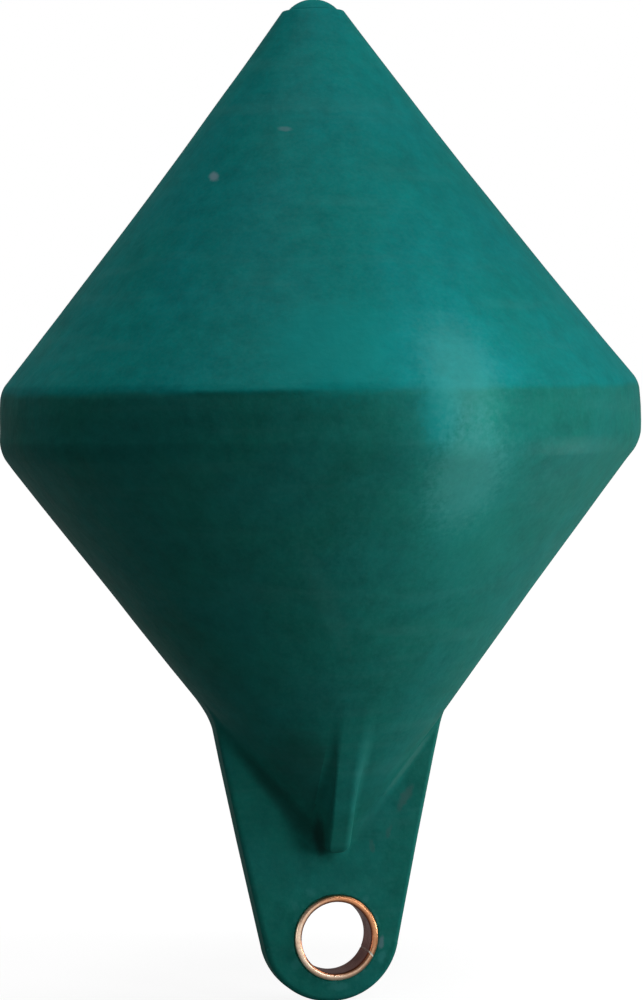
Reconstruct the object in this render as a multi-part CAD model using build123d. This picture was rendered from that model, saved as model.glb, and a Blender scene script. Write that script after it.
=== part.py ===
"""Double-cone marker buoy of moulded polyethylene, with a mooring fin and a copper-lined eye.

Millimetres, +Z up. The origin is on the axis at mid height of the equator band, which is the
loaded waterline. The fin lies in the XZ plane, and its eye runs along Y.
"""

import math
import os

from build123d import *

# Hull: two cones joined by a short upright band.
HULL_RADIUS = 200.0
BAND_HALF_HEIGHT = 18.0
SHOULDER_RADIUS = 19.0
SHOULDER_Z = 252.5
SHOULDER_ROUND = 1.5
LOWER_APEX_Z = -283.0
UPPER_SAG = 1.7  # how far the upper cone's wall is drawn in, half way down
TOP_CORNER_ROUND = 26.0
BOTTOM_CORNER_ROUND = 22.0
WALL = 5.0
SEAM_Z = 14.0  # the two mouldings meet on the rounded upper corner of the band

# Filler plug in the hull's top.
FILLER_HOLE_RADIUS = 11.0
PLUG_SHANK_CLEARANCE = 0.1
PLUG_SHANK_DEPTH = 14.0
PLUG_DOME_RADIUS = 15.0
PLUG_DOME_HEIGHT = 7.3
PLUG_RIM_HEIGHT = 2.0

# Mooring fin: a tapered plate with a round foot.
FIN_THICKNESS = 18.0
FIN_FOOT_RADIUS = 43.9
FIN_FOOT_CENTRE_Z = -322.9
FIN_TAPER_DEG = 12.0  # each side edge, from upright
FIN_EDGE_ROUND = 3.0
FIN_TO_HULL_ROUND = 40.0
FIN_TOP_Z = -150.0  # hidden inside the lower cone
FIN_BURY = 1.0  # keeps the fin's upper corners just under the cone's surface

# Eye and its wrapped copper bush.
EYE_X = 2.4  # the eye sits a little off the axis
EYE_Z = -326.4
BUSH_OUTER_RADIUS = 27.0
BUSH_INNER_RADIUS = 22.5
BUSH_LENGTH = 22.5
BUSH_RIM_ROUND = 1.8
BUSH_SEAM_WIDTH = 0.8
BUSH_SEAM_DEG = -27.0  # from +X towards +Z

# Ribs that stiffen the fin against the lower cone, one on each face.
RIB_FOOT_Z = -270.5
RIB_FOOT_REACH = 32.7  # from the axis to the rib's outer edge at its foot
RIB_LEAN = 0.4556  # gain in reach for each millimetre of height
RIB_TOP_Z = -165.0  # hidden inside the lower cone
RIB_FOOT_HALF_WIDTH = 7.0
RIB_TOP_HALF_WIDTH = 8.7
RIB_EDGE_ROUND = 4.0

BIG = 500.0


def cone_radius(z):
    """Outer radius of the lower cone at height z, before its corners are rounded."""
    return HULL_RADIUS * (z - LOWER_APEX_Z) / (-BAND_HALF_HEIGHT - LOWER_APEX_Z)


def hull_section():
    """The hull's whole upright section through its axis, both sides, as one face in XZ."""
    drop, run = SHOULDER_Z - BAND_HALF_HEIGHT, HULL_RADIUS - SHOULDER_RADIUS
    length = math.hypot(drop, run)
    middle_r = (HULL_RADIUS + SHOULDER_RADIUS) / 2 - UPPER_SAG * drop / length
    middle_z = (SHOULDER_Z + BAND_HALF_HEIGHT) / 2 - UPPER_SAG * run / length
    with BuildSketch(Plane.XZ) as section:
        with BuildLine():
            for side in (1, -1):
                shoulder = (side * SHOULDER_RADIUS, SHOULDER_Z)
                upper = (side * HULL_RADIUS, BAND_HALF_HEIGHT)
                lower = (side * HULL_RADIUS, -BAND_HALF_HEIGHT)
                ThreePointArc(shoulder, (side * middle_r, middle_z), upper)
                Line(upper, lower)
                Line(lower, (0, LOWER_APEX_Z))
            Line((SHOULDER_RADIUS, SHOULDER_Z), (-SHOULDER_RADIUS, SHOULDER_Z))
        make_face()
        for height, radius in (
            (SHOULDER_Z, SHOULDER_ROUND),
            (BAND_HALF_HEIGHT, TOP_CORNER_ROUND),
            (-BAND_HALF_HEIGHT, BOTTOM_CORNER_ROUND),
        ):
            corners = section.vertices().filter_by(lambda v, h=height: abs(v.Y - h) < 0.01)
            fillet(corners, radius)
    return section.sketch


def spun(section):
    """The solid swept by the +X half of a symmetrical XZ section about the Z axis."""
    half = section & Plane.XZ * Location((BIG / 2, 0)) * Rectangle(BIG, 2 * BIG)
    return revolve(half, Axis.Z)


def band_of_space(low, high):
    """A wide block between two heights."""
    return Pos(0, 0, (low + high) / 2) * Box(2 * BIG, 2 * BIG, high - low)


def hull_shell():
    """The hull's two mouldings, cut apart at the seam, and the hull's outer shape as one solid."""
    section = hull_section()
    outside = spun(section)
    shell = outside - spun(offset(section, amount=-WALL))
    upper = shell & band_of_space(SEAM_Z, BIG)
    upper -= Pos(0, 0, SHOULDER_Z) * Cylinder(FILLER_HOLE_RADIUS, 4 * WALL)
    lower = shell & band_of_space(-BIG, SEAM_Z)
    return upper, lower, outside


def filler_plug():
    """A domed head with an upright rim, on a plain shank that fills the hole in the hull's top."""
    shank_r = FILLER_HOLE_RADIUS - PLUG_SHANK_CLEARANCE
    rise = PLUG_DOME_HEIGHT - PLUG_RIM_HEIGHT
    crown_r = (PLUG_DOME_RADIUS**2 + rise**2) / (2 * rise)
    half_r = PLUG_DOME_RADIUS / 2
    half_rise = rise - crown_r + math.sqrt(crown_r**2 - half_r**2)
    with BuildSketch(Plane.XZ) as section:
        with BuildLine():
            Polyline((0, -PLUG_SHANK_DEPTH), (shank_r, -PLUG_SHANK_DEPTH), (shank_r, 0))
            Polyline((shank_r, 0), (PLUG_DOME_RADIUS, 0), (PLUG_DOME_RADIUS, PLUG_RIM_HEIGHT))
            ThreePointArc(
                (PLUG_DOME_RADIUS, PLUG_RIM_HEIGHT),
                (half_r, PLUG_RIM_HEIGHT + half_rise),
                (0, PLUG_DOME_HEIGHT),
            )
            Line((0, PLUG_DOME_HEIGHT), (0, -PLUG_SHANK_DEPTH))
        make_face()
    return Pos(0, 0, SHOULDER_Z) * revolve(section.sketch, Axis.Z)


def fin_plate():
    """The fin before the hull and the eye are cut from it, its long edges rounded."""
    lean = math.radians(FIN_TAPER_DEG)
    foot_x = FIN_FOOT_RADIUS * math.cos(lean)
    foot_z = FIN_FOOT_CENTRE_Z - FIN_FOOT_RADIUS * math.sin(lean)
    slope = HULL_RADIUS / (-BAND_HALF_HEIGHT - LOWER_APEX_Z)
    taper = math.tan(lean)
    # Where the fin's side edge would run into the cone.
    meet_z = (foot_x - taper * foot_z + FIN_BURY + slope * LOWER_APEX_Z) / (slope - taper)
    meet_x = foot_x + taper * (meet_z - foot_z)
    top_x = cone_radius(FIN_TOP_Z) - FIN_BURY
    with BuildSketch(Plane.XZ) as outline:
        with BuildLine():
            ThreePointArc(
                (foot_x, foot_z), (0, FIN_FOOT_CENTRE_Z - FIN_FOOT_RADIUS), (-foot_x, foot_z)
            )
            for side in (1, -1):
                FilletPolyline(
                    (side * foot_x, foot_z),
                    (side * meet_x, meet_z),
                    (side * top_x, FIN_TOP_Z),
                    radius=FIN_TO_HULL_ROUND,
                )
            Line((top_x, FIN_TOP_Z), (-top_x, FIN_TOP_Z))
        make_face()
    plate = extrude(outline.sketch, FIN_THICKNESS / 2, both=True)
    long_edges = plate.edges().filter_by(
        lambda e: abs(abs(e.center().Y) - FIN_THICKNESS / 2) < 0.01 and e.center().Z < FIN_TOP_Z - 1
    )
    return fillet(long_edges, FIN_EDGE_ROUND)


def eye_hole():
    """The round hole through the fin that holds the bush."""
    return Pos(EYE_X, 0, EYE_Z) * Rot(90, 0, 0) * Cylinder(BUSH_OUTER_RADIUS, 2 * FIN_THICKNESS)


def front_rib(outside, plate):
    """The rib on the fin's -Y face, trimmed to the cone and to the fin."""
    reach_top = RIB_FOOT_REACH + RIB_LEAN * (RIB_TOP_Z - RIB_FOOT_Z)
    with BuildSketch(Plane.YZ) as side_view:
        Polygon(
            (0, RIB_FOOT_Z),
            (-RIB_FOOT_REACH, RIB_FOOT_Z),
            (-reach_top, RIB_TOP_Z),
            (0, RIB_TOP_Z),
            align=None,
        )
    with BuildSketch(Plane.XZ) as front_view:
        Polygon(
            (-RIB_FOOT_HALF_WIDTH, RIB_FOOT_Z),
            (RIB_FOOT_HALF_WIDTH, RIB_FOOT_Z),
            (RIB_TOP_HALF_WIDTH, RIB_TOP_Z),
            (-RIB_TOP_HALF_WIDTH, RIB_TOP_Z),
            align=None,
        )
    block = extrude(side_view.sketch, BIG / 10, both=True) & extrude(front_view.sketch, BIG, both=True)
    outer_edges = block.edges().filter_by(
        lambda e: e.center().Y < -RIB_FOOT_REACH + 0.5 and e.center().Z < RIB_TOP_Z - 1
    )
    block = fillet(outer_edges, RIB_EDGE_ROUND)
    return block - outside - plate


def eye_bush():
    """A strip of copper wrapped into a ring, with rounded rims and a fine open seam."""
    ring = Cylinder(BUSH_OUTER_RADIUS, BUSH_LENGTH) - Cylinder(BUSH_INNER_RADIUS, BUSH_LENGTH)
    ring = fillet(ring.edges().filter_by(GeomType.CIRCLE), BUSH_RIM_ROUND)
    ring -= Pos(BUSH_OUTER_RADIUS, 0, 0) * Box(BUSH_OUTER_RADIUS, BUSH_SEAM_WIDTH, 2 * BUSH_LENGTH)
    return Pos(EYE_X, 0, EYE_Z) * Rot(0, -BUSH_SEAM_DEG, 0) * Rot(90, 0, 0) * ring


def build():
    """Every piece of the buoy by node name."""
    upper, lower, outside = hull_shell()
    plate = fin_plate()
    rib = front_rib(outside, plate)
    return {
        "upper_cone": upper,
        "lower_cone": lower,
        "filler_plug": filler_plug(),
        "mooring_fin": plate - outside - eye_hole(),
        "front_rib": rib,
        "back_rib": Rot(0, 0, 180) * rib,
        "eye_bush": eye_bush(),
    }


os.makedirs("parts", exist_ok=True)
for name, piece in build().items():
    export_step(piece, f"parts/{name}.step")
    box = piece.bounding_box()
    print(name, "solids", len(piece.solids()), "volume cm3", round(piece.volume / 1000, 1), box.min, box.max)
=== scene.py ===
import math

import bmesh
import bpy
import numpy as np
from mathutils import Matrix, Vector, noise


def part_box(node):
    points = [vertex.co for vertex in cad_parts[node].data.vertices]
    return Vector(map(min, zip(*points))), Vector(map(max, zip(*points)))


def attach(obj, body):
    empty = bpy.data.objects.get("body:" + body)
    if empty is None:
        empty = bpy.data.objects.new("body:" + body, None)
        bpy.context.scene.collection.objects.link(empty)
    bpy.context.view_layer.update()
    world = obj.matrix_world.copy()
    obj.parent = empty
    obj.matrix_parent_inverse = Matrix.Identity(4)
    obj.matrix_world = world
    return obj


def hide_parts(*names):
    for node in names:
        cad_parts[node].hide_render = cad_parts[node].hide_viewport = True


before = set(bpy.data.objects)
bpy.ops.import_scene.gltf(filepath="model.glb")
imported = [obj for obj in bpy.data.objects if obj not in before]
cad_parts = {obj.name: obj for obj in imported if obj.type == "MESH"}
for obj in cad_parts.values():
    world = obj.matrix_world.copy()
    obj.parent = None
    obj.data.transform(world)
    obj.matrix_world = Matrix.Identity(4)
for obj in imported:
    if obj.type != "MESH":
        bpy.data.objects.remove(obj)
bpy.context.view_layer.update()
MM = 0.001

# Hull sizes, in millimetres.
HULL_R = 200.0
BAND_HALF = 18.0
SHOULDER_R, SHOULDER_Z = 19.0, 252.5
SHOULDER_ROUND = 1.5
UPPER_SAG = 1.7
BOTTOM_CORNER = 22.0
BEND_Z, BEND_ROUND = 18.9, 16.0  # the band's upper corner bends mostly here
EASE_Z, EASE_ROUND = 4.0, 60.0  # and eases to upright here
APEX_Z = -283.0
CONE_SLOPE = HULL_R / (-BAND_HALF - APEX_Z)  # gain in radius per millimetre of height
SEAM_Z = 14.0
WALL = 5.0
HOLE_R = 11.0
CAP_R, CAP_TOP, SHANK = 15.9, 7.3, 14.0
CAP_EDGE_ROUND, SHANK_CLEARANCE = 0.5, 0.1

# Fin, rib and eye sizes, in millimetres.
FIN_HALF, FIN_EDGE_ROUND = 9.0, 3.2
FOOT_R, FOOT_Z = 43.9, -322.9
FIN_LEAN = math.radians(12.0)
FOOT_POWER = 2.04  # a little squarer than a circle
EYE_X, EYE_Z = 2.4, -326.4
EYE_CLEARANCE, EYE_EDGE_ROUND = 0.15, 0.9
RIB_FOOT_Z, RIB_REACH, RIB_LEAN = -270.5, 32.7, 0.4556
RIB_HALF, RIB_WIDEN = 7.0, 0.0161
RIB_PROUD = 0.4  # the crisp edge stands out by twice this
RIB_CRISP, RIB_SOFT, RIB_TOE = 1.5, 5.5, 6.0  # how far its two edges and its foot are rounded
FILLET_EDGE, FILLET_FACE = 4.6, 7.0  # into the cone, at the fin's thin edge and on a broad face
# The skin that blends fin and ribs into the cone: its top, the size of its faces and how deep its rim goes.
SKIN_TOP, SKIN_STEP, SKIN_DEPTH = -150.0, 1.15, 2.0
CONE_POINT = 0.2
NEAR_SKIN, OFF_CONE = 4.0, 0.03  # a rough point that can be settled, and one that counts as off the cone
BUSH_OUT, BUSH_IN, BUSH_HALF = 27.0, 22.5, 11.25
BUSH_LIP = 1.9
BUSH_SEAM = math.radians(-27.0)
SOLDER_WIDTH, SOLDER_SINK, SOLDER_LIP = 1.5, 0.2, 1.75
SOLDER_SKEW, SOLDER_MIDDLE = 0.0165, 24.7  # radians for each millimetre out from that radius


# ------------------------------------------------------------------ mesh helpers
def add_object(name, mesh, *materials):
    """A new object in the scene, with its materials in that order."""
    thing = bpy.data.objects.new(name, mesh)
    bpy.context.scene.collection.objects.link(thing)
    for m in materials:
        mesh.materials.append(m)
    return thing


def mesh_from(bm, name, crease=None):
    """Turns a bmesh into a smooth mesh, sharp at edges past crease degrees."""
    mesh = bpy.data.meshes.new(name)
    bm.to_mesh(mesh)
    bm.free()
    for p in mesh.polygons:
        p.use_smooth = True
    if crease:
        mesh.set_sharp_from_angle(angle=math.radians(crease))
    return mesh


def coords(mesh):
    """A mesh's points as rows of x, y, z in metres."""
    co = np.empty(len(mesh.vertices) * 3)
    mesh.vertices.foreach_get("co", co)
    return co.reshape(-1, 3)


def set_coords(mesh, co):
    """Puts a mesh's points at those places in metres."""
    mesh.vertices.foreach_set("co", np.ascontiguousarray(co, dtype=np.float32).ravel())
    mesh.update()


def outline(bm, points):
    """Adds an outline in the XZ plane from (radius, height) points in millimetres."""
    verts = [bm.verts.new((r * MM, 0, z * MM)) for r, z in points]
    for a, b in zip(verts, verts[1:]):
        bm.edges.new((a, b))
    return verts


def round_corner(bm, vert, radius, turn, steps):
    """Rounds one corner of an outline that turns through that angle, to that radius."""
    bmesh.ops.bevel(
        bm, geom=[vert], offset=radius * MM * math.tan(turn / 2), offset_type="OFFSET",
        segments=steps, profile=0.5, affect="VERTICES", material=-1,
    )


def divide(bm, edges, step):
    """Divides an outline's long runs into pieces no longer than step millimetres."""
    for e in edges:
        cuts = int(e.calc_length() / (step * MM))
        if cuts:
            bmesh.ops.subdivide_edges(bm, edges=[e], cuts=cuts)


def spin_round(bm, steps):
    """Turns an outline into a closed shell about the upright axis."""
    bmesh.ops.spin(
        bm, geom=bm.verts[:] + bm.edges[:], cent=(0, 0, 0), axis=(0, 0, 1),
        angle=2 * math.pi, steps=steps, use_merge=True,
    )
    bmesh.ops.remove_doubles(bm, verts=bm.verts[:], dist=2e-6)
    bmesh.ops.recalc_face_normals(bm, faces=bm.faces[:])


# ------------------------------------------------------------------ hull
TOP_SLANT = math.atan2(SHOULDER_Z - BAND_HALF, HULL_R - SHOULDER_R)
HULL_STEPS = 480


def draw_in(bm):
    """Draws the upper cone's outer wall in by its sag, most at half height."""
    drop, run = SHOULDER_Z - BAND_HALF, HULL_R - SHOULDER_R
    length = math.hypot(run, drop)
    for v in bm.verts:
        t = (SHOULDER_Z - v.co.z / MM) / drop
        on_wall = v.co.x / MM > SHOULDER_R + run * t - 3.0
        if 0 < t < 1 and on_wall:
            s = UPPER_SAG * 4 * t * (1 - t) * MM
            v.co.x -= s * drop / length
            v.co.z -= s * run / length


CRISP_FROM, CRISP_TO = -132.0, -102.0  # the stretch of the band's corner that is crisper, in degrees


def uneven(mesh):
    """Uneven cooling of the moulded walls: slow swells, and a band corner that isn't quite even."""
    co = coords(mesh) / MM
    r = np.hypot(co[:, 0], co[:, 1])
    x, y, z = co.T
    swell = np.array([
        0.5 * noise.noise(Vector(p) / 80.0) + 0.16 * noise.noise(Vector(p) / 27.0 + Vector((9.0, 2.0, 5.0)))
        for p in co
    ])
    corner = np.exp(-((z - 17.0) / 5.0) ** 2)
    crimp = np.array([
        noise.noise(Vector((p[0], p[1], 0.0)) / 21.0 + Vector((1.7, 8.1, 3.3))) for p in co
    ])
    d = swell - 0.4 + corner * (0.45 * crimp - 0.2)
    # One stretch of the corner is crisper than the rest.
    turn = np.degrees(np.arctan2(y, x))
    crisp = np.clip((turn - CRISP_FROM) / 8, 0, 1) * np.clip((CRISP_TO - turn) / 5, 0, 1)
    d += 0.75 * crisp * np.exp(-((z - 18.3) / 2.6) ** 2)
    keep = np.clip((z + 150) / 40, 0, 1) * np.clip((r - 20) / 30, 0, 1)
    co[:, 0] += x / np.maximum(r, 1e-6) * d * keep
    co[:, 1] += y / np.maximum(r, 1e-6) * d * keep
    set_coords(mesh, co * MM)


def lean(mesh):
    """The moulding isn't quite true: the lower half leans one way and its tip the other."""
    co = coords(mesh)
    co[:, 0] += MM * np.interp(
        co[:, 2] / MM, [-265, -215, -193, -155, -60, -30, -6], [0, 0.5, 1.0, 0.1, -0.9, -1.1, 0],
    )
    set_coords(mesh, co)


def hull_outline(bm):
    """The hull's outer wall, from the filler hole's edge down to the tip."""
    bend_r = HULL_R - (BEND_Z - BAND_HALF) / math.tan(TOP_SLANT)
    ease = math.atan((HULL_R - bend_r) / (BEND_Z - EASE_Z))
    corners = [
        (HOLE_R, SHOULDER_Z, 0, 0, 0),
        (SHOULDER_R, SHOULDER_Z, SHOULDER_ROUND, TOP_SLANT, 5),
        (bend_r, BEND_Z, BEND_ROUND, math.pi / 2 - TOP_SLANT - ease, 16),
        (HULL_R, EASE_Z, EASE_ROUND, ease, 8),
        (HULL_R, -BAND_HALF, BOTTOM_CORNER, math.atan(CONE_SLOPE), 20),
        (0, APEX_Z, 0, 0, 0),
    ]
    outline(bm, [c[:2] for c in corners])
    for r, z, radius, turn, steps in corners:
        if radius:
            at = Vector((r * MM, 0, z * MM))
            round_corner(bm, min(bm.verts, key=lambda q: (q.co - at).length), radius, turn, steps)
    divide(bm, bm.edges[:], 3.0)
    draw_in(bm)


def hull_half(name, upper):
    """One shell of the hull, above or below the parting line, with its inner wall."""
    bm = bmesh.new()
    hull_outline(bm)
    # The outline is cut at the parting height, and its inner wall added, before it is spun.
    bmesh.ops.bisect_plane(
        bm, geom=bm.verts[:] + bm.edges[:], plane_co=(0, 0, SEAM_Z * MM),
        plane_no=(0, 0, 1), clear_inner=upper, clear_outer=not upper,
    )
    thick = WALL * math.hypot(1, CONE_SLOPE)
    if upper:
        run = (HULL_R - SHOULDER_R) / (SHOULDER_Z - BAND_HALF)
        thick = WALL * math.hypot(1, run)
        under = SHOULDER_Z - WALL
        inner = outline(bm, [
            (HOLE_R, under), (SHOULDER_R + run * WALL - thick, under),
            (HULL_R - WALL, BAND_HALF + (WALL - thick) / run), (HULL_R - WALL, SEAM_Z),
        ])
        mouth = min(bm.verts, key=lambda q: (abs(q.co.z / MM - SHOULDER_Z) > 0.1, q.co.x))
        bm.edges.new((mouth, inner[0]))
    else:
        inner = outline(bm, [
            (0, APEX_Z + thick / CONE_SLOPE),
            (HULL_R - WALL, APEX_Z + (HULL_R - WALL + thick) / CONE_SLOPE),
            (HULL_R - WALL, SEAM_Z),
        ])
    seam = max((q for q in bm.verts if abs(q.co.z / MM - SEAM_Z) < 0.01), key=lambda q: q.co.x)
    bm.edges.new((seam, inner[-1]))
    spin_round(bm, HULL_STEPS)
    mesh = mesh_from(bm, name, 35)
    uneven(mesh)
    lean(mesh)
    return mesh


# ------------------------------------------------------- the blended skin field
def cone_gap(p):
    """Distance to the lower cone's outer wall."""
    r = np.hypot(p[:, 0], p[:, 1])
    return (r - CONE_SLOPE * (p[:, 2] - APEX_Z)) / math.hypot(1, CONE_SLOPE)


def fin_edge(x, z):
    """Signed distance to the fin's outline in its own plane: leaning sides and a round foot."""
    px, pz = np.abs(x), z - FOOT_Z
    across = px * math.cos(FIN_LEAN) - pz * math.sin(FIN_LEAN)
    along = px * math.sin(FIN_LEAN) + pz * math.cos(FIN_LEAN)
    foot = (px**FOOT_POWER + np.abs(pz) ** FOOT_POWER) ** (1 / FOOT_POWER)
    return np.where(along < 0, foot, across) - FOOT_R


def rounded_and(a, b, e):
    """Distance to where both a and b are inside, with the edge they share rounded to radius e."""
    u, v = a + e, b + e
    return np.minimum(np.maximum(u, v), 0) + np.hypot(np.maximum(u, 0), np.maximum(v, 0)) - e


def soft_or(a, b, k):
    """Distance to where a or b is inside, with a fillet of width k between them."""
    h = np.maximum(k - np.abs(a - b), 0) / k
    return np.minimum(a, b) - h * h * k / 4


def fin_gap(p):
    """Distance to the fin, with the eye's hole through its foot."""
    plate = rounded_and(fin_edge(p[:, 0], p[:, 2]), np.abs(p[:, 1]) - FIN_HALF, FIN_EDGE_ROUND)
    hole = BUSH_OUT - EYE_CLEARANCE - np.hypot(p[:, 0] - EYE_X, p[:, 2] - EYE_Z)
    return rounded_and(plate, hole, EYE_EDGE_ROUND)


def rib_gap(p):
    """Distance to the two ribs, one on each face of the fin."""
    up = p[:, 2] - RIB_FOOT_Z
    outer = (np.abs(p[:, 1]) - RIB_REACH - RIB_LEAN * up) / math.hypot(1, RIB_LEAN)
    # One edge is a little proud and crisp, the other is well rounded.
    flank = np.abs(p[:, 0] + RIB_PROUD) - RIB_HALF - RIB_PROUD - RIB_WIDEN * up
    edge = np.where(p[:, 0] < 0, RIB_CRISP, RIB_SOFT)
    return rounded_and(rounded_and(outer, flank, edge), -up, RIB_TOE)


def skin(p):
    """The whole lower body: cone, fin and ribs, with the fillets where they meet."""
    out = np.clip((np.abs(p[:, 1]) - 6.0) / 4.0, 0, 1)
    fillet = FILLET_EDGE + (FILLET_FACE - FILLET_EDGE) * out
    return soft_or(soft_or(cone_gap(p), fin_gap(p), fillet), rib_gap(p), FILLET_FACE)


def slope_of(field, p, step=0.02):
    """Which way, and how steeply, the field rises at each point."""
    g = np.empty_like(p)
    for i in range(3):
        d = np.zeros(3)
        d[i] = step
        g[:, i] = (field(p + d) - field(p - d)) / (2 * step)
    return g


def facing(p):
    """The skin's outward direction at each point."""
    g = slope_of(skin, p)
    return g / np.linalg.norm(g, axis=1)[:, None]


def settle(co, field, rounds=10):
    """Moves points onto the field's surface."""
    for _ in range(rounds):
        f = field(co)
        g = slope_of(field, co)
        n2 = np.maximum((g * g).sum(1), 0.05)
        co = co - np.clip(f / n2, -2.0, 2.0)[:, None] * g
    return co


def lower_core():
    """A closed skin of small even faces, roughly round the cone's tip, the fin and the ribs."""
    bm = bmesh.new()
    for name in ("mooring_fin", "front_rib", "back_rib"):
        part = bmesh.new()
        part.from_mesh(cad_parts[name].data)
        bmesh.ops.remove_doubles(part, verts=part.verts[:], dist=1e-6)
        copy = bpy.data.meshes.new("part")
        part.to_mesh(copy)
        part.free()
        bm.from_mesh(copy)
        bpy.data.meshes.remove(copy)
    tall = SKIN_TOP - APEX_Z
    made = bmesh.ops.create_cone(
        bm, cap_ends=True, segments=160, radius1=CONE_POINT * MM,
        radius2=CONE_SLOPE * tall * MM, depth=tall * MM,
    )
    bmesh.ops.translate(bm, verts=made["verts"], vec=(0, 0, (SKIN_TOP + APEX_Z) / 2 * MM))
    thing = add_object("core", mesh_from(bm, "core"))
    remesh = thing.modifiers.new("even", "REMESH")
    remesh.mode = "VOXEL"
    remesh.voxel_size = SKIN_STEP * MM
    grid = bpy.context.evaluated_depsgraph_get()
    even = bpy.data.meshes.new_from_object(thing.evaluated_get(grid))
    bpy.data.objects.remove(thing)
    return even


def keep_own(bm, own, ties, lift, sound):
    """Leaves a piece's faces: mostly its own, or half its own if it takes ties, sound, and off the cone."""
    gone = []
    for f in bm.faces:
        corners = [v.index for v in f.verts]
        votes = 2 * sum(1 for i in corners if own[i])
        mine = votes > len(corners) or (ties and votes == len(corners))
        if not mine or max(lift[i] for i in corners) < OFF_CONE or not all(sound[i] for i in corners):
            gone.append(f)
    bmesh.ops.delete(bm, geom=gone, context="FACES")
    bmesh.ops.delete(bm, geom=[v for v in bm.verts if not v.link_faces], context="VERTS")


def close_behind(bm):
    """Closes an open piece of skin: its rim is drawn in below the surface and capped there."""
    out = bmesh.ops.extrude_edge_only(bm, edges=[e for e in bm.edges if e.is_boundary])
    rim = [g for g in out["geom"] if isinstance(g, bmesh.types.BMVert)]
    at = np.array([v.co[:] for v in rim]) / MM
    for v, q in zip(rim, (at - SKIN_DEPTH * facing(at)) * MM):
        v.co = q
    bmesh.ops.holes_fill(bm, edges=[e for e in bm.edges if e.is_boundary], sides=0)
    bmesh.ops.triangulate(bm, faces=[f for f in bm.faces if len(f.verts) > 4])
    bmesh.ops.recalc_face_normals(bm, faces=bm.faces[:])


def blended_pieces():
    """The fin and the two ribs, with the soft fillets by which they grow out of the cone."""
    even = lower_core()
    co = coords(even) / MM
    sound = np.abs(skin(co)) < NEAR_SKIN
    co = settle(co, skin)
    lift = cone_gap(co)
    kind = np.where(rib_gap(co) < fin_gap(co), np.where(co[:, 1] < 0, 1, 2), 0)
    set_coords(even, co * MM)
    pieces = {}
    for k, name in enumerate(("mooring_fin", "front_rib", "back_rib")):
        bm = bmesh.new()
        bm.from_mesh(even)
        keep_own(bm, kind == k, name == "mooring_fin", lift, sound)
        close_behind(bm)
        mesh = mesh_from(bm, name + "_skin")
        normals = facing(coords(mesh) / MM)
        lean(mesh)
        mesh.normals_split_custom_set_from_vertices([tuple(n) for n in normals])
        pieces[name] = mesh
    bpy.data.meshes.remove(even)
    return pieces


# ------------------------------------------------------------------ cap and bush
def filler_cap():
    """A low domed cap on a plain shank."""
    crown = (CAP_R**2 + CAP_TOP**2) / (2 * CAP_TOP)
    bm = bmesh.new()
    top = bm.verts.new((0, 0, (SHOULDER_Z + CAP_TOP) * MM))
    made = bmesh.ops.spin(
        bm, geom=[top], cent=(0, 0, (SHOULDER_Z + CAP_TOP - crown) * MM), axis=(0, 1, 0),
        angle=math.asin(CAP_R / crown), steps=14,
    )
    edge = next(g for g in made["geom_last"] if isinstance(g, bmesh.types.BMVert))
    shank = HOLE_R - SHANK_CLEARANCE
    rest = outline(bm, [(shank, SHOULDER_Z), (shank, SHOULDER_Z - SHANK), (0, SHOULDER_Z - SHANK)])
    bm.edges.new((edge, rest[0]))
    round_corner(bm, edge, CAP_EDGE_ROUND, math.pi - math.asin(CAP_R / crown), 5)
    divide(bm, [e for e in bm.edges if e.calc_length() > 5 * MM], 4.0)
    spin_round(bm, 96)
    return mesh_from(bm, "filler_cap", 50)


def rounded_strip(bm, shrink, lip):
    """The section of a rolled strip, one face across the ring's wall, its corners rounded."""
    face = bm.faces.new([
        bm.verts.new((r * MM, y * MM, 0))
        for r, y in (
            (BUSH_IN + shrink, -BUSH_HALF + shrink), (BUSH_OUT - shrink, -BUSH_HALF + shrink),
            (BUSH_OUT - shrink, BUSH_HALF - shrink), (BUSH_IN + shrink, BUSH_HALF - shrink),
        )
    ])
    bmesh.ops.bevel(
        bm, geom=face.verts[:], offset=lip * MM, offset_type="OFFSET", segments=9, profile=0.5,
        affect="VERTICES", material=-1,
    )


def bush_ring(bm, shrink, lip, start, turn, steps, finish):
    """Sweeps the strip's section round the eye, from one angle through another."""
    section = bmesh.new()
    rounded_strip(section, shrink, lip)
    divide(section, [e for e in section.edges if e.calc_length() > 5 * MM], 2.0)
    bmesh.ops.rotate(section, verts=section.verts[:], matrix=Matrix.Rotation(-start, 3, "Y"))
    bmesh.ops.spin(
        section, geom=section.faces[:], cent=(0, 0, 0), axis=(0, 1, 0), angle=-turn, steps=steps,
    )
    bmesh.ops.recalc_face_normals(section, faces=section.faces[:])
    for f in section.faces:
        f.material_index = finish
    mesh = bpy.data.meshes.new("ring")
    section.to_mesh(mesh)
    section.free()
    bm.from_mesh(mesh)
    bpy.data.meshes.remove(mesh)


def eye_lining():
    """Copper strip rolled into a ring, its ends joined by a line of pale solder."""
    bm = bmesh.new()
    gap = SOLDER_WIDTH / BUSH_OUT
    bush_ring(bm, 0.0, BUSH_LIP, BUSH_SEAM + gap / 2, 2 * math.pi - gap, 200, 0)
    bush_ring(bm, SOLDER_SINK, SOLDER_LIP, BUSH_SEAM - gap / 2, gap, 3, 1)
    # The joint runs askew across the rim.
    for v in bm.verts:
        r = math.hypot(v.co.x, v.co.z)
        v.co.rotate(Matrix.Rotation(SOLDER_SKEW * (r / MM - SOLDER_MIDDLE), 3, "Y"))
    bmesh.ops.translate(bm, verts=bm.verts[:], vec=(EYE_X * MM, 0, EYE_Z * MM))
    return mesh_from(bm, "eye_lining", 60)


# ------------------------------------------------------------------ finishes
def feed(tree, socket, value):
    """Links a socket to another node's output, or sets a plain value on it."""
    if isinstance(value, bpy.types.NodeSocket):
        tree.links.new(value, socket)
    else:
        socket.default_value = value


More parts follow.
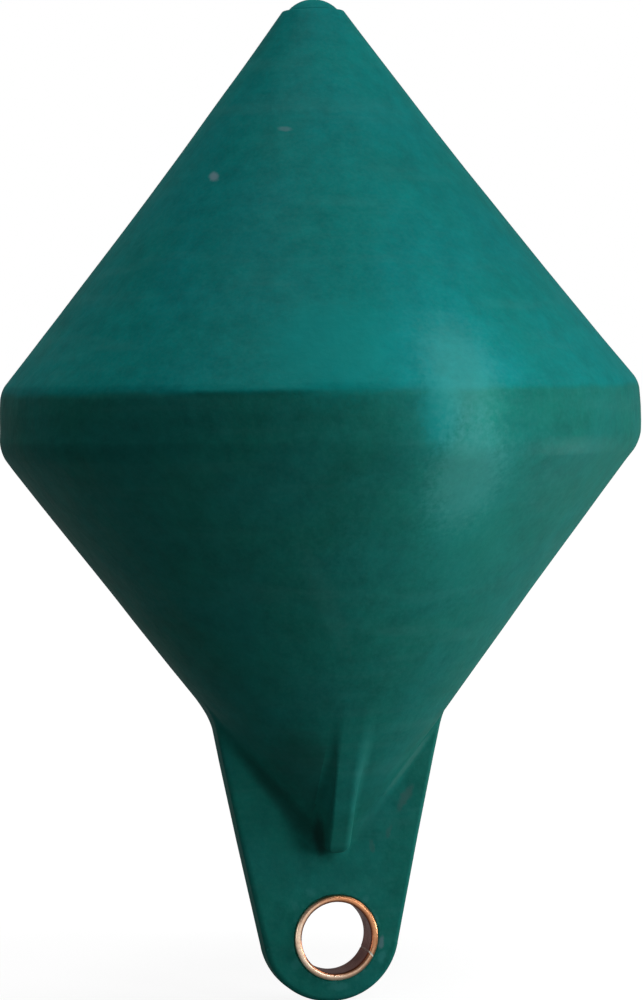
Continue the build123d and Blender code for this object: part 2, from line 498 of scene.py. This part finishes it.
class Finish:
    """Builds one material's nodes; every pattern is in the object's own metres."""

    def __init__(self, name):
        self.material = bpy.data.materials.new(name)
        self.material.use_nodes = True
        self.tree = self.material.node_tree
        self.shader = self.tree.nodes["Principled BSDF"]
        self.place = self.node("ShaderNodeTexCoord").outputs["Object"]
        self.ragged = self.cloud(300.0, 3.0, 0.6)

    def node(self, kind, **settings):
        """A new node with those settings."""
        n = self.tree.nodes.new(kind)
        for key, value in settings.items():
            setattr(n, key, value)
        return n

    def join(self, source, socket):
        """Links an output to a socket."""
        self.tree.links.new(source, socket)

    def feed(self, socket, value):
        """Links an output to a socket, or sets a plain value on it."""
        feed(self.tree, socket, value)

    def cloud(self, scale, detail=2.0, rough=0.5, stretch=None, warp=0.0):
        """Noise from 0 to 1 with scale cycles a metre, which may be stretched or warped."""
        place = self.place
        if stretch:
            m = self.node("ShaderNodeMapping")
            self.join(place, m.inputs["Vector"])
            m.inputs["Scale"].default_value = stretch
            place = m.outputs["Vector"]
        n = self.node("ShaderNodeTexNoise")
        self.join(place, n.inputs["Vector"])
        n.inputs["Scale"].default_value = scale
        n.inputs["Detail"].default_value = detail
        n.inputs["Roughness"].default_value = rough
        n.inputs["Distortion"].default_value = warp
        return n.outputs["Fac"]

    def remap(self, value, low, high, to_low=0.0, to_high=1.0, smooth=True):
        """Takes low to high over to another range, and holds it at the ends."""
        n = self.node("ShaderNodeMapRange", interpolation_type="SMOOTHSTEP" if smooth else "LINEAR")
        self.feed(n.inputs["Value"], value)
        n.inputs["From Min"].default_value = low
        n.inputs["From Max"].default_value = high
        n.inputs["To Min"].default_value = to_low
        n.inputs["To Max"].default_value = to_high
        return n.outputs["Result"]

    def math(self, operation, a, b):
        """One step of arithmetic on two values."""
        n = self.node("ShaderNodeMath", operation=operation)
        self.feed(n.inputs[0], a)
        self.feed(n.inputs[1], b)
        return n.outputs[0]

    def blend(self, amount, a, b):
        """Colour a where amount is 0, and b where it is 1."""
        n = self.node("ShaderNodeMix", data_type="RGBA")
        self.feed(n.inputs["Factor"], amount)
        self.feed(n.inputs["A"], a)
        self.feed(n.inputs["B"], b)
        return n.outputs["Result"]

    def spot(self, centre, size, lean, ragged):
        """A patch: 1 at its centre, 0 outside, ragged at its edge. Millimetres, and degrees from upright."""
        m = self.node("ShaderNodeMapping", vector_type="TEXTURE")
        self.join(self.place, m.inputs["Vector"])
        m.inputs["Location"].default_value = [c * MM for c in centre]
        m.inputs["Rotation"].default_value = (0, math.radians(lean), 0)
        m.inputs["Scale"].default_value = [c * MM for c in size]
        far = self.node("ShaderNodeVectorMath", operation="LENGTH")
        self.join(m.outputs["Vector"], far.inputs[0])
        wobble = self.math("MULTIPLY_ADD", self.ragged, ragged * 2)
        wobble.node.inputs[2].default_value = -ragged
        return self.remap(self.math("ADD", far.outputs["Value"], wobble), 1.0, 0.35)

    def from_eye(self):
        """Distance in metres from the eye's axis."""
        m = self.node("ShaderNodeMapping")
        self.join(self.place, m.inputs["Vector"])
        m.inputs["Location"].default_value = (-EYE_X * MM, 0, -EYE_Z * MM)
        m.inputs["Scale"].default_value = (1, 0, 1)
        far = self.node("ShaderNodeVectorMath", operation="LENGTH")
        self.join(m.outputs["Vector"], far.inputs[0])
        return far.outputs["Value"]

    def tint_patch(self, colour, tint, strength, *shape):
        """The colour with a patch of tint on it, for marks and for painted light and shade."""
        return self.blend(self.math("MULTIPLY", self.spot(*shape), strength), colour, tint)

    def relief(self, *layers):
        """Stacks bumps from (height, depth in metres) pairs."""
        under = None
        for height, depth in layers:
            b = self.node("ShaderNodeBump")
            b.inputs["Strength"].default_value = 1.0
            b.inputs["Distance"].default_value = depth
            self.feed(b.inputs["Height"], height)
            if under is not None:
                self.join(under, b.inputs["Normal"])
            under = b.outputs["Normal"]
        self.join(under, self.shader.inputs["Normal"])

    def set(self, **sockets):
        """Sets or links the shader's own sockets, named with _ for a space."""
        for key, value in sockets.items():
            self.feed(self.shader.inputs[key.replace("_", " ")], value)


# Painted top light: plastic above the band painted lighter and bluer, and the plain tone on the band and
# below it.
UPPER_LIT = (0.0020, 0.180, 0.168, 1)
UPPER_LIT_DEEP = (0.0018, 0.160, 0.148, 1)
UPPER_LIT_BLUE = (0.0022, 0.174, 0.178, 1)
LOWER_TONE = (0.0088, 0.164, 0.135, 1)
LOWER_TONE_DEEP = (0.0080, 0.144, 0.115, 1)
LOWER_TONE_BLUE = (0.0093, 0.160, 0.146, 1)
# Heights in millimetres: the ragged line where the painted top light begins, and the stretch above that
# painted lighter toward the band.
LIT_LINE_FOOT, LIT_LINE_TOP, LIT_LINE_RAGGED = 18.0, 22.5, 6.0
LIGHTEN_FOOT, LIGHTEN_TOP = 26.0, 95.0
CHAFE_WIDTH = 5.0
# Painted light and shade, and what chafing and wear leave on it.
# Painted light: plastic painted lighter where light falls.
PAINTED_LIGHT = (0.0030, 0.225, 0.214, 1)
# Painted highlight: the highlight's tail on the lower cone.
HIGHLIGHT_TAIL = (0.015, 0.240, 0.200, 1)
# A chalky haze for the fine specks and streaks, also used for painted highlights.
CHALK_AND_HIGHLIGHT = (0.075, 0.26, 0.245, 1)
PALE = (0.16, 0.26, 0.30, 1)
SCUFF = (0.058, 0.135, 0.128, 1)
WORN = (0.035, 0.235, 0.220, 1)
# Painted shade, for shadow in the hollows where the fin and ribs meet the cone.
PAINTED_SHADE = (0.010, 0.030, 0.027, 1)
# Painted highlight on the fillet's ridge right of the fin.
RIDGE_HIGHLIGHT = (0.050, 0.185, 0.165, 1)
# Copper, painted lighter on one side and browner on the other as a painted reflection, and tarnished inside,
# each clean and then stained.
LIT_SIDE_COPPER = ((1.0, 0.80, 0.62, 1), (0.96, 0.66, 0.46, 1))
DIM_SIDE_COPPER = ((0.62, 0.29, 0.14, 1), (0.48, 0.20, 0.09, 1))
TARNISH = ((0.30, 0.078, 0.050, 1), (0.22, 0.055, 0.036, 1))
SCRATCHED = (0.42, 0.17, 0.09, 1)
RIM = (0.50, 0.18, 0.085, 1)
# Solder, clean and then worn.
SOLDER = ((0.92, 0.86, 0.74, 1), (0.80, 0.70, 0.55, 1))

# Tint, strength, centre, half sizes, lean from upright, raggedness.
JOINT_PAINTED_LIGHT = (
    # Painted shadow in the groove, beside the rib and right of it, and a painted highlight on the fillet's
    # ridge.
    (PAINTED_SHADE, 0.42, (-29.5, -14, -240), (8.5, 16, 62), -39, 0.15),
    (PAINTED_SHADE, 0.72, (-9.3, -15, -257), (5, 16, 27), -8, 0.15),
    (PAINTED_SHADE, 0.20, (26, -24, -246), (14, 30, 30), 24, 0.2),
    (RIDGE_HIGHLIGHT, 0.50, (51, -11, -218), (2.8, 9, 32), 40, 0.3),
)
HULL_MARKS_AND_PAINTED_LIGHT = JOINT_PAINTED_LIGHT + (
    # Painted light on the upper cone near the band, and on the band at the highlight's left edge.
    (PAINTED_LIGHT, 0.62, (-36, -178, 44), (54, 60, 46), 0, 0.3),
    (PAINTED_LIGHT, 0.55, (21, -197, 4), (16, 30, 28), 0, 0.5),
    # Painted highlight, the highlight's tail on the lower cone.
    (HIGHLIGHT_TAIL, 0.34, (54, -150, -66), (44, 74, 74), -14, 0.4),
    # Painted highlight above and below the band; the third patch is a faint pale streak.
    (CHALK_AND_HIGHLIGHT, 0.23, (37, -190, 34), (33, 44, 58), 0, 0.4),
    (CHALK_AND_HIGHLIGHT, 0.25, (41, -180, -32), (33, 50, 50), 0, 0.5),
    (CHALK_AND_HIGHLIGHT, 0.09, (-31, -129, -106), (9, 50, 66), -28, 0.5),
    # Painted shade on the cone left of the rib.
    (PAINTED_SHADE, 0.36, (-22, -50, -218), (24, 60, 50), -30, 0.2),
    (PALE, 0.85, (-78.5, -60, 147.4), (3.9, 7, 6.4), -22, 0.25),
    (PALE, 0.40, (-36, -69, 174.6), (5.4, 7, 2.2), 6, 0.2),
)
FIN_MARKS_AND_PAINTED_LIGHT = JOINT_PAINTED_LIGHT + (
    (SCUFF, 0.60, (48.5, -9, -240), (4.2, 5, 13), 31, 0.45),
    (SCUFF, 0.35, (37.7, -9, -261), (2.6, 4, 6), 20, 0.5),
    (SCUFF, 0.35, (26.5, -9, -270), (2.2, 4, 5.5), -10, 0.5),
    (WORN, 0.45, (-13.4, -9, -297.5), (5, 3, 3.5), 30, 0.6),
    (WORN, 0.30, (-24, -9, -305), (3, 3, 6), -30, 0.6),
    (WORN, 0.45, (21.4, -9, -303.7), (3, 3, 4), 40, 0.6),
    (WORN, 0.80, (28.3, -9, -317), (2.4, 3, 6.5), -20, 0.5),
    (PALE, 0.55, (31.4, -9, -331), (2.6, 3, 5), 10, 0.5),
    (WORN, 0.55, (31.6, -9, -340), (3.0, 3, 6), 25, 0.6),
    (WORN, 0.50, (3, -9, -357.5), (9, 3, 3.0), 0, 0.6),
    (WORN, 0.40, (-24, -9, -342), (4, 3, 7), 35, 0.6),
)


def mottled(f):
    """The plain tone below a ragged line near the parting line, and above it a painted top light: lighter,
    bluer plastic, painted lighter still toward the band.
    """
    clouds = f.remap(f.cloud(11.0, 3.0, 0.55, warp=0.4), 0.3, 0.72)
    hue = f.math("MULTIPLY", f.remap(f.cloud(19.0, 3.0, 0.55), 0.35, 0.7), 0.6)
    plain_below = f.blend(hue, f.blend(clouds, LOWER_TONE_DEEP, LOWER_TONE), LOWER_TONE_BLUE)
    lit_above = f.blend(hue, f.blend(clouds, UPPER_LIT_DEEP, UPPER_LIT), UPPER_LIT_BLUE)
    height = f.node("ShaderNodeSeparateXYZ")
    f.join(f.place, height.inputs[0])
    edge = f.math("MULTIPLY_ADD", f.cloud(24.0, 3.0, 0.5), LIT_LINE_RAGGED * MM)
    f.join(height.outputs["Z"], edge.node.inputs[2])
    # Painted light: lighter toward the band.
    lightening = f.remap(height.outputs["Z"], LIGHTEN_TOP * MM, LIGHTEN_FOOT * MM, 0.0, 0.30)
    # Painted top light above the ragged line.
    above = f.remap(edge, LIT_LINE_FOOT * MM, LIT_LINE_TOP * MM)
    colour = f.blend(above, plain_below, f.blend(lightening, lit_above, PAINTED_LIGHT))
    mottle = f.remap(f.cloud(70.0, 5.0, 0.72), 0.28, 0.72, 0.83, 1.17, smooth=False)
    shade = f.node("ShaderNodeVectorMath", operation="SCALE")
    f.join(colour, shade.inputs[0])
    f.join(mottle, shade.inputs["Scale"])
    return shade.outputs[0]


def chafed(f, colour):
    """Wears the plastic here and there in a ring round the eye."""
    worn = f.math("MULTIPLY", f.remap(f.cloud(230.0, 3.0, 0.6), 0.50, 0.64), 0.6)
    near = f.remap(f.from_eye(), (BUSH_OUT + CHAFE_WIDTH) * MM, BUSH_OUT * MM)
    return f.blend(f.math("MULTIPLY", worn, near), colour, WORN)


def moulded_plastic(name, patch_table):
    """Rough green plastic, mottled, finely specked and streaked, with its own worn and pale spots and its
    patches of painted light and shade.
    """
    f = Finish(name)
    speck = f.remap(f.cloud(420.0, 3.0, 0.65), 0.35, 0.7)
    streak = f.remap(f.cloud(26.0, 3.0, 0.6, stretch=(0.35, 0.35, 3.2)), 0.5, 0.75)
    colour = f.blend(f.math("MULTIPLY", speck, 0.07), mottled(f), CHALK_AND_HIGHLIGHT)
    colour = f.blend(f.math("MULTIPLY", streak, 0.10), colour, CHALK_AND_HIGHLIGHT)
    colour = chafed(f, colour)
    # The tables hold real marks and patches of painted light and shade.
    for tint, strength, *shape in patch_table:
        colour = f.tint_patch(colour, tint, strength, *shape)
    rough = f.remap(f.cloud(38.0, 4.0, 0.6), 0.25, 0.8, 0.44, 0.54, smooth=False)
    f.set(Base_Color=colour, Roughness=rough, Specular_IOR_Level=0.05, Specular_Tint=(0.25, 1.0, 1.0, 1.0))
    f.relief(
        (f.cloud(46.0, 2.0, 0.5), 0.0009), (f.cloud(240.0, 2.0, 0.5), 0.00016),
        (f.cloud(1150.0, 2.0, 0.6), 0.000045),
    )
    return f.material


def tarnished(f, colour, tint_patch):
    """Browns the wall inside the ring."""
    wall = f.remap(f.from_eye(), (BUSH_IN + 0.5) * MM, (BUSH_IN + 0.03) * MM)
    return f.blend(wall, colour, f.blend(tint_patch, *TARNISH))


def rolled_copper():
    """Rolled copper with a painted reflection, lighter on one side and browner on the other, stained in
    patches and finely scratched round the ring.
    """
    f = Finish("rolled_copper")
    tint_patch = f.remap(f.cloud(90.0, 4.0, 0.6), 0.35, 0.7)
    fine = f.remap(f.cloud(700.0, 3.0, 0.6, stretch=(1, 0.15, 1)), 0.3, 0.75)
    across = f.node("ShaderNodeVectorMath", operation="DOT_PRODUCT")
    f.join(f.place, across.inputs[0])
    across.inputs[1].default_value = (0.8, 0, 0.6)
    # Painted reflection: lighter below on one side, browner above on the other.
    middle = 0.8 * EYE_X + 0.6 * EYE_Z
    toward_dim_side = f.remap(across.outputs["Value"], (middle - 21) * MM, (middle + 21) * MM)
    colour = f.blend(toward_dim_side, f.blend(tint_patch, *LIT_SIDE_COPPER), f.blend(tint_patch, *DIM_SIDE_COPPER))
    colour = f.blend(f.math("MULTIPLY", fine, 0.25), colour, SCRATCHED)
    rim = f.remap(f.from_eye(), (BUSH_IN + 1.5) * MM, (BUSH_IN + 0.7) * MM)
    colour = f.blend(rim, colour, RIM)
    f.set(
        Base_Color=tarnished(f, colour, tint_patch), Metallic=1.0,
        Roughness=f.remap(tint_patch, 0, 1, 0.24, 0.36, smooth=False),
    )
    f.relief((f.cloud(160.0, 3.0, 0.6), 0.00012), (fine, 0.00002))
    return f.material


def pale_solder():
    """The dull pale metal in the ring's joint."""
    f = Finish("pale_solder")
    worn = f.remap(f.cloud(500.0, 3.0, 0.6), 0.35, 0.7)
    f.set(Base_Color=tarnished(f, f.blend(worn, *SOLDER), worn), Metallic=0.15, Roughness=0.38)
    f.relief((f.cloud(900.0, 2.0, 0.6), 0.0001))
    return f.material


# ------------------------------------------------------------------ studio
# Millimetres for the lens, metres and radians for where the camera stands.
SENSOR, LENS = 36.0, 122.4
CAMERA_DISTANCE = 2.127
CAMERA_SWING = math.radians(14.0)
CAMERA_HEIGHT = 0.029
CAMERA_AIM = Vector((0, 0, -0.0521))
CAMERA_ROLL = math.radians(1.0)
# How pale the floor is under the lamps, and how brightly the surroundings light the object.
MATT = 0.2
WORLD_LIGHT = 0.12
# How bright the surroundings and the floor show in metal.
WORLD_GLOSS = 0.06
FLOOR_GLOSS_FRONT, FLOOR_GLOSS_BACK = 0.95, 0.14


def place_camera():
    """A long lens, about level with the band and to one side of the front."""
    data = bpy.data.cameras.new("camera")
    data.sensor_width = SENSOR
    data.lens = LENS
    data.clip_end = 100.0
    camera = bpy.data.objects.new("camera", data)
    bpy.context.scene.collection.objects.link(camera)
    eye = Vector((
        -CAMERA_DISTANCE * math.sin(CAMERA_SWING),
        -CAMERA_DISTANCE * math.cos(CAMERA_SWING),
        CAMERA_HEIGHT,
    ))
    look = (CAMERA_AIM - eye).to_track_quat("-Z", "Y")
    camera.matrix_world = (
        Matrix.Translation(eye) @ look.to_matrix().to_4x4() @ Matrix.Rotation(-CAMERA_ROLL, 4, "Z")
    )
    bpy.context.scene.camera = camera


def softbox(name, side, reach, height, size, watts, aim=0.0, spread=180.0):
    """A soft light aimed at the axis: degrees to the right of the camera, metres out and up."""
    a = math.radians(side) - CAMERA_SWING
    place = Vector((math.sin(a) * reach, -math.cos(a) * reach, height))
    data = bpy.data.lights.new(name, "AREA")
    data.shape = "RECTANGLE"
    data.size, data.size_y = size
    data.energy = watts
    data.spread = math.radians(spread)
    lamp = bpy.data.objects.new(name, data)
    bpy.context.scene.collection.objects.link(lamp)
    lamp.location = place
    lamp.rotation_euler = (Vector((0, 0, aim)) - place).to_track_quat("-Z", "Y").to_euler()
    lamp.visible_camera = False


def shown(nt, gloss):
    """1 for what the camera or glass sees, and that share of it for what metal reflects."""
    rays = nt.nodes.new("ShaderNodeLightPath")
    seen = nt.nodes.new("ShaderNodeMath")
    seen.operation = "MAXIMUM"
    nt.links.new(rays.outputs["Is Camera Ray"], seen.inputs[0])
    nt.links.new(rays.outputs["Is Transmission Ray"], seen.inputs[1])
    share = nt.nodes.new("ShaderNodeMath")
    share.operation = "MULTIPLY_ADD"
    nt.links.new(rays.outputs["Is Glossy Ray"], share.inputs[0])
    feed(nt, share.inputs[1], gloss)
    nt.links.new(seen.outputs[0], share.inputs[2])
    return share.outputs[0]


def graded(nt, value, low, high, to_low, to_high):
    """Takes low to high smoothly over to another range."""
    ramp = nt.nodes.new("ShaderNodeMapRange")
    ramp.interpolation_type = "SMOOTHSTEP"
    nt.links.new(value, ramp.inputs["Value"])
    ramp.inputs["From Min"].default_value = low
    ramp.inputs["From Max"].default_value = high
    ramp.inputs["To Min"].default_value = to_low
    ramp.inputs["To Max"].default_value = to_high
    return ramp.outputs["Result"]


def pale_floor():
    """A matt floor that shows white to the camera, metal and glass, and still takes shadows."""
    material = bpy.data.materials.new("pale_floor")
    material.use_nodes = True
    nt = material.node_tree
    nt.nodes.clear()
    out = nt.nodes.new("ShaderNodeOutputMaterial")
    matt = nt.nodes.new("ShaderNodeBsdfDiffuse")
    matt.inputs["Color"].default_value = (MATT, MATT, MATT, 1)
    glow = nt.nodes.new("ShaderNodeEmission")
    place = nt.nodes.new("ShaderNodeTexCoord")
    # A touch less glow near the object, where the lamps light the floor and it takes the shadow.
    reach = nt.nodes.new("ShaderNodeVectorMath")
    reach.operation = "LENGTH"
    nt.links.new(place.outputs["Object"], reach.inputs[0])
    level = nt.nodes.new("ShaderNodeMath")
    level.operation = "MULTIPLY"
    nt.links.new(graded(nt, reach.outputs["Value"], 0.5, 3.0, 0.9, 1.0), level.inputs[1])
    # Metal sees the floor in front of the object brighter than the floor behind it.
    depth = nt.nodes.new("ShaderNodeSeparateXYZ")
    nt.links.new(place.outputs["Object"], depth.inputs[0])
    gloss = graded(nt, depth.outputs["Y"], -0.25, 0.0, FLOOR_GLOSS_FRONT, FLOOR_GLOSS_BACK)
    nt.links.new(shown(nt, gloss), level.inputs[0])
    nt.links.new(level.outputs[0], glow.inputs["Strength"])
    add = nt.nodes.new("ShaderNodeAddShader")
    nt.links.new(matt.outputs[0], add.inputs[0])
    nt.links.new(glow.outputs[0], add.inputs[1])
    nt.links.new(add.outputs[0], out.inputs["Surface"])
    return material


def lay_floor():
    """A wide floor at the fin's lowest point."""
    bm = bmesh.new()
    bmesh.ops.create_grid(bm, x_segments=1, y_segments=1, size=20)
    bmesh.ops.translate(bm, vec=(0, 0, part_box("mooring_fin")[0].z), verts=bm.verts)
    add_object("floor", mesh_from(bm, "floor"), pale_floor())


def surround():
    """White all round to the camera, and a dim even light to the object."""
    world = bpy.data.worlds.new("studio")
    bpy.context.scene.world = world
    world.use_nodes = True
    nt = world.node_tree
    nt.nodes.clear()
    out = nt.nodes.new("ShaderNodeOutputWorld")
    mix = nt.nodes.new("ShaderNodeMixShader")
    nt.links.new(shown(nt, WORLD_GLOSS), mix.inputs["Fac"])
    for strength, socket in ((WORLD_LIGHT, mix.inputs[1]), (1.0, mix.inputs[2])):
        white = nt.nodes.new("ShaderNodeBackground")
        white.inputs["Color"].default_value = (1, 1, 1, 1)
        white.inputs["Strength"].default_value = strength
        nt.links.new(white.outputs[0], socket)
    nt.links.new(mix.outputs[0], out.inputs["Surface"])


def light():
    """Broad lamps above and at the sides, small ones low down, and narrow ones for the highlights."""
    big = (0.9, 0.9)
    softbox("left_overhead", -60, 0.50, 2.35, big, 17.7)
    softbox("right_top", 60, 1.01, 2.18, big, 16.1)
    softbox("right", 90, 1.97, 1.38, big, 13.3)
    softbox("left_fill", -60, 2.39, 0.21, big, 0.6)
    softbox("right_low", 92, 0.62, -0.30, (0.2, 0.2), 1.78, aim=-0.30)
    softbox("front_low", 43, 0.60, -0.20, (0.15, 0.2), 0.67, aim=-0.20)
    softbox("front_high", 36, 0.45, 0.08, (0.06, 0.2), 0.26, aim=0.08)
    softbox("band", 28, 0.90, 0.0, (0.04, 0.10), 0.0084, spread=7.0)
    softbox("eye", -45, 0.60, -0.25, (0.30, 0.20), 0.014, aim=-0.33, spread=30.0)
    softbox("band_wide", 24, 0.90, 0.0, (0.04, 0.20), 0.0054, spread=10.0)


def dress(name, mesh, node, slot, *finishes):
    """Adds a finished piece in place of one of the part's solids."""
    piece = add_object(name, mesh, *finishes)
    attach(piece, "root")
    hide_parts(node)


hull_plastic = moulded_plastic("hull_plastic", HULL_MARKS_AND_PAINTED_LIGHT)
fin_plastic = moulded_plastic("fin_plastic", FIN_MARKS_AND_PAINTED_LIGHT)
dress("upper_hull", hull_half("upper_hull", True), "upper_cone", "green_plastic", hull_plastic)
dress("lower_hull", hull_half("lower_hull", False), "lower_cone", "green_plastic", hull_plastic)
for node, mesh in blended_pieces().items():
    dress(node + "_skin", mesh, node, "green_plastic", fin_plastic)
dress("filler_cap", filler_cap(), "filler_plug", "plug_plastic", hull_plastic)
dress("eye_lining", eye_lining(), "eye_bush", "copper", rolled_copper(), pale_solder())
place_camera()
lay_floor()
surround()
light()
bpy.context.scene.view_settings.view_transform = "Standard"
